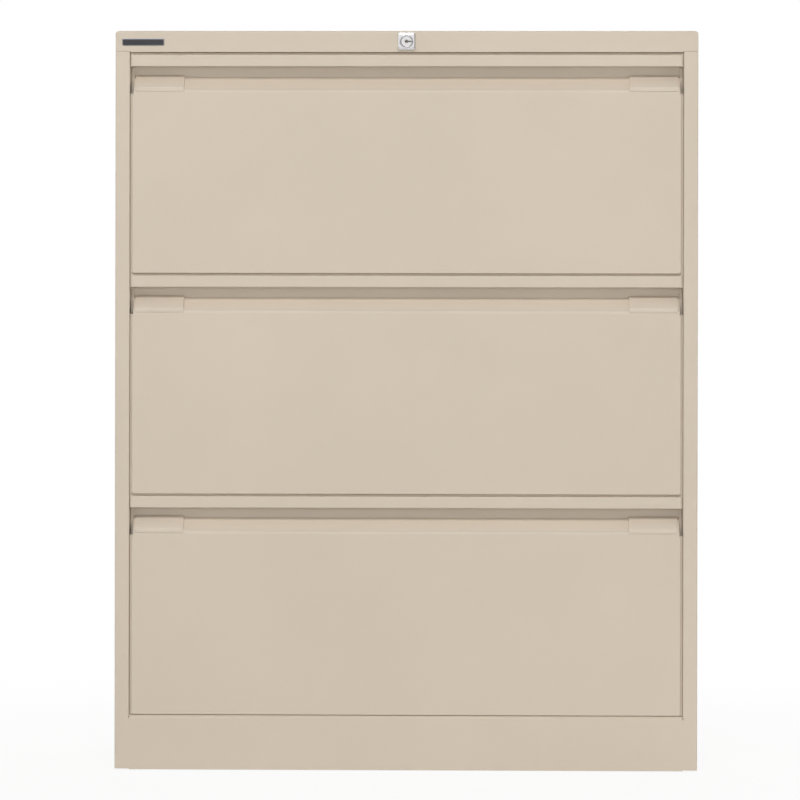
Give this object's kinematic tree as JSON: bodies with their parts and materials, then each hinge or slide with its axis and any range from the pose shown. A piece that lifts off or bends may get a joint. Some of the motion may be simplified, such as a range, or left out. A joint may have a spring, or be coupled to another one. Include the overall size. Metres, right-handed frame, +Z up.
{
  "type": "hanging file cabinet",
  "caption": "Side filing cabinet in folded sheet steel, with full-width drawers for hanging files on telescopic slides, recessed pulls and a central lock.",
  "frame": {"origin": "middle of the bounding box's bottom, on the floor under the levelling feet", "axes": "+Z up; the drawers and the lock face -Y and open towards -Y; +X is to the right of a person in front"},
  "size_m": [0.8, 0.476, 1.016],
  "materials": {
    "beige_paint": "smooth semi-matt powder coat",
    "zinc_steel": "bright zinc plating",
    "guide_plastic": "moulded, matt",
    "bright_chrome": "polished",
    "foot_zinc": "zinc plating"
  },
  "bodies": {
    "cabinet": {"top_panel": "beige_paint", "side_left": "beige_paint", "side_right": "beige_paint", "back_panel": "beige_paint", "plinth": "beige_paint", "base_pan": "beige_paint", "front_uprights": "zinc_steel", "rear_uprights": "zinc_steel", "foot_brackets": "zinc_steel", "foot_nuts": "zinc_steel", "levelling_feet": "foot_zinc", "lock_housing": "bright_chrome", "lock_nut": "zinc_steel", "link_guides": "guide_plastic", "lock_bar_guides": "guide_plastic", "drawer_1_slide_outer": "zinc_steel", "drawer_2_slide_outer": "zinc_steel", "drawer_3_slide_outer": "zinc_steel"},
    "drawer_1": {"drawer_1_front": "beige_paint", "drawer_1_front_liner": "beige_paint", "drawer_1_tray": "beige_paint", "drawer_1_hanging_rails": "zinc_steel", "drawer_1_label_holders": "beige_paint", "drawer_1_catch": "zinc_steel", "drawer_1_slide_inner": "zinc_steel"},
    "drawer_1_slide_middle": {"drawer_1_slide_middle": "zinc_steel"},
    "drawer_1_outer_cages": {"drawer_1_outer_cages": "guide_plastic"},
    "drawer_1_inner_cages": {"drawer_1_inner_cages": "guide_plastic"},
    "drawer_2": {"drawer_2_front": "beige_paint", "drawer_2_front_liner": "beige_paint", "drawer_2_tray": "beige_paint", "drawer_2_hanging_rails": "zinc_steel", "drawer_2_label_holders": "beige_paint", "drawer_2_catch": "zinc_steel", "drawer_2_slide_inner": "zinc_steel"},
    "drawer_2_slide_middle": {"drawer_2_slide_middle": "zinc_steel"},
    "drawer_2_outer_cages": {"drawer_2_outer_cages": "guide_plastic"},
    "drawer_2_inner_cages": {"drawer_2_inner_cages": "guide_plastic"},
    "drawer_3": {"drawer_3_front": "beige_paint", "drawer_3_front_liner": "beige_paint", "drawer_3_tray": "beige_paint", "drawer_3_hanging_rails": "zinc_steel", "drawer_3_label_holders": "beige_paint", "drawer_3_catch": "zinc_steel", "drawer_3_slide_inner": "zinc_steel"},
    "drawer_3_slide_middle": {"drawer_3_slide_middle": "zinc_steel"},
    "drawer_3_outer_cages": {"drawer_3_outer_cages": "guide_plastic"},
    "drawer_3_inner_cages": {"drawer_3_inner_cages": "guide_plastic"},
    "lock_plug": {"lock_plug": "bright_chrome", "lock_cam": "zinc_steel", "cam_screw": "zinc_steel"},
    "link_bar": {"link_bar": "zinc_steel"},
    "lock_bar": {"lock_bar": "zinc_steel", "lock_hooks": "zinc_steel", "follower_pin": "zinc_steel"}
  },
  "joints": [
    {"name": "drawer_1_slide", "type": "slide", "parent": "cabinet", "child": "drawer_1", "axis": [0, -1, 0], "range_m": [0, 0.4]},
    {"name": "drawer_1_slide_middle_run", "type": "slide", "parent": "cabinet", "child": "drawer_1_slide_middle", "axis": [0, -1, 0], "range_m": [0, 0.2005]},
    {"name": "drawer_1_outer_cages_run", "type": "slide", "parent": "cabinet", "child": "drawer_1_outer_cages", "axis": [0, -1, 0], "range_m": [0, 0.1005]},
    {"name": "drawer_1_inner_cages_run", "type": "slide", "parent": "cabinet", "child": "drawer_1_inner_cages", "axis": [0, -1, 0], "range_m": [0, 0.3005]},
    {"name": "drawer_2_slide", "type": "slide", "parent": "cabinet", "child": "drawer_2", "axis": [0, -1, 0], "range_m": [0, 0.4]},
    {"name": "drawer_2_slide_middle_run", "type": "slide", "parent": "cabinet", "child": "drawer_2_slide_middle", "axis": [0, -1, 0], "range_m": [0, 0.2005]},
    {"name": "drawer_2_outer_cages_run", "type": "slide", "parent": "cabinet", "child": "drawer_2_outer_cages", "axis": [0, -1, 0], "range_m": [0, 0.1005]},
    {"name": "drawer_2_inner_cages_run", "type": "slide", "parent": "cabinet", "child": "drawer_2_inner_cages", "axis": [0, -1, 0], "range_m": [0, 0.3005]},
    {"name": "drawer_3_slide", "type": "slide", "parent": "cabinet", "child": "drawer_3", "axis": [0, -1, 0], "range_m": [0, 0.4]},
    {"name": "drawer_3_slide_middle_run", "type": "slide", "parent": "cabinet", "child": "drawer_3_slide_middle", "axis": [0, -1, 0], "range_m": [0, 0.2005]},
    {"name": "drawer_3_outer_cages_run", "type": "slide", "parent": "cabinet", "child": "drawer_3_outer_cages", "axis": [0, -1, 0], "range_m": [0, 0.1005]},
    {"name": "drawer_3_inner_cages_run", "type": "slide", "parent": "cabinet", "child": "drawer_3_inner_cages", "axis": [0, -1, 0], "range_m": [0, 0.3005]},
    {"name": "lock_turn", "type": "hinge", "parent": "cabinet", "child": "lock_plug", "pos_m": [0, -0.232, 1.001], "axis": [0, 1, 0], "range_deg": [0, 90]},
    {"name": "link_run", "type": "slide", "parent": "cabinet", "child": "link_bar", "axis": [-1, 0, 0], "range_m": [0, 0.0172]},
    {"name": "lock_bar_lift", "type": "slide", "parent": "cabinet", "child": "lock_bar", "axis": [0, 0, 1], "range_m": [0, 0.01697]}
  ],
  "couplings": [
    {"joint": "drawer_1_slide_middle_run", "follows": "drawer_1_slide", "ratio": 0.5},
    {"joint": "drawer_1_outer_cages_run", "follows": "drawer_1_slide", "ratio": 0.25},
    {"joint": "drawer_1_inner_cages_run", "follows": "drawer_1_slide", "ratio": 0.75},
    {"joint": "drawer_2_slide_middle_run", "follows": "drawer_2_slide", "ratio": 0.5},
    {"joint": "drawer_2_outer_cages_run", "follows": "drawer_2_slide", "ratio": 0.25},
    {"joint": "drawer_2_inner_cages_run", "follows": "drawer_2_slide", "ratio": 0.75},
    {"joint": "drawer_3_slide_middle_run", "follows": "drawer_3_slide", "ratio": 0.5},
    {"joint": "drawer_3_outer_cages_run", "follows": "drawer_3_slide", "ratio": 0.25},
    {"joint": "drawer_3_inner_cages_run", "follows": "drawer_3_slide", "ratio": 0.75},
    {"joint": "link_run", "follows": "lock_bar_lift", "ratio": 1},
    {"joint": "lock_turn", "follows": "lock_bar_lift", "rad_per_m": 92.55}
  ]
}
